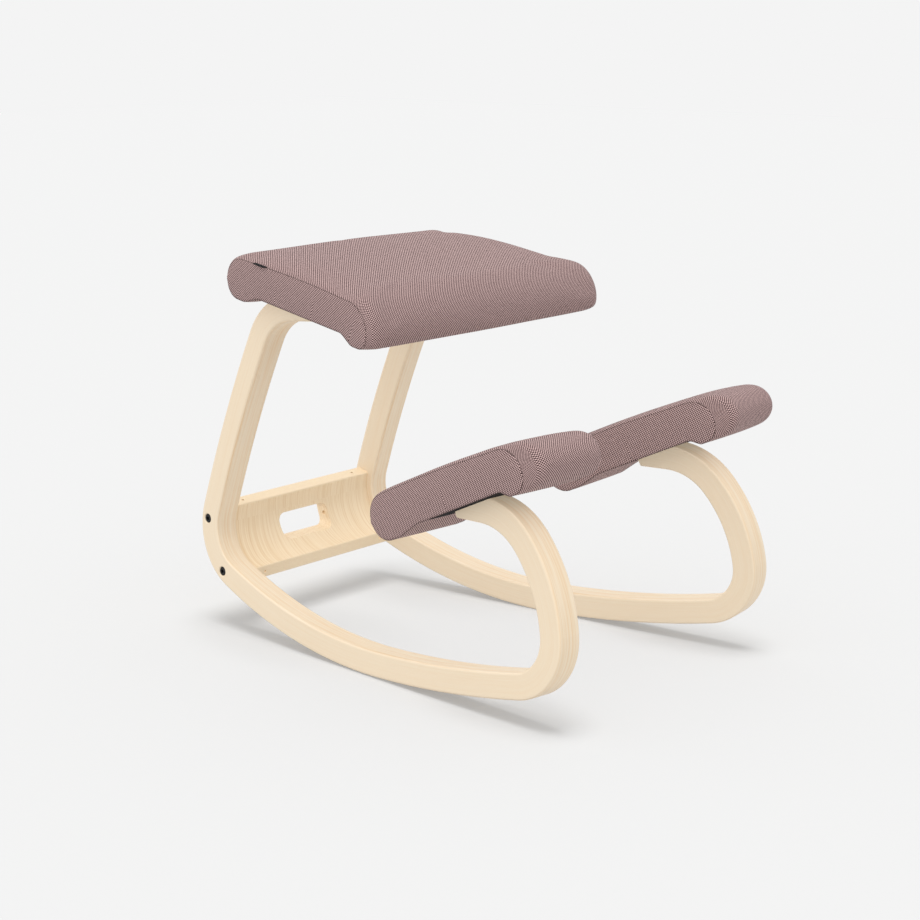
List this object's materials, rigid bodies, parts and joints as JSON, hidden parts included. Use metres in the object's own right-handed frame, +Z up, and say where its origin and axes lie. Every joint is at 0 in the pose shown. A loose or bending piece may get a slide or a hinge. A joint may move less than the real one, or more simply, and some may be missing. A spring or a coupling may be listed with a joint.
{
  "type": "kneeling chair",
  "caption": "Rocking kneeling chair with two bent laminated wood side frames, a curved plywood crosspiece, an upholstered seat and two upholstered knee pads.",
  "frame": {"origin": "on the floor, under the middle of the chair's length and width", "axes": "+Z up, the sitter faces -Y, +X is the sitter's left"},
  "size_m": [0.5144, 0.6952, 0.5443],
  "materials": {
    "laminated_wood": "clear satin lacquer",
    "moulded_plywood": "clear satin lacquer",
    "plain_plywood": "raw",
    "woven_fabric": "matte two-tone weave",
    "foam": "open-cell foam",
    "black_felt": "matte non-woven",
    "black_tape": "smooth woven tape",
    "black_steel": "black oxide",
    "zinc_steel": "zinc plated"
  },
  "bodies": {
    "root": {"side_frame_left": "laminated_wood", "side_frame_right": "laminated_wood", "rear_crosspiece": "moulded_plywood", "crosspiece_bolts": "black_steel", "crosspiece_inserts": "zinc_steel", "seat_cover": "woven_fabric", "seat_foam": "foam", "seat_board": "plain_plywood", "seat_underside_felt": "black_felt", "seat_tee_nuts": "zinc_steel", "seat_bolts": "black_steel", "seat_washers": "zinc_steel", "seat_blank_tag": "black_tape", "knee_pad_left_cover": "woven_fabric", "knee_pad_left_foam": "foam", "knee_pad_left_board": "plain_plywood", "knee_pad_left_underside_felt": "black_felt", "knee_pad_left_tee_nuts": "zinc_steel", "knee_pad_left_bolts": "black_steel", "knee_pad_left_washers": "zinc_steel", "knee_pad_right_cover": "woven_fabric", "knee_pad_right_foam": "foam", "knee_pad_right_board": "plain_plywood", "knee_pad_right_underside_felt": "black_felt", "knee_pad_right_tee_nuts": "zinc_steel", "knee_pad_right_bolts": "black_steel", "knee_pad_right_washers": "zinc_steel"}
  },
  "joints": []
}
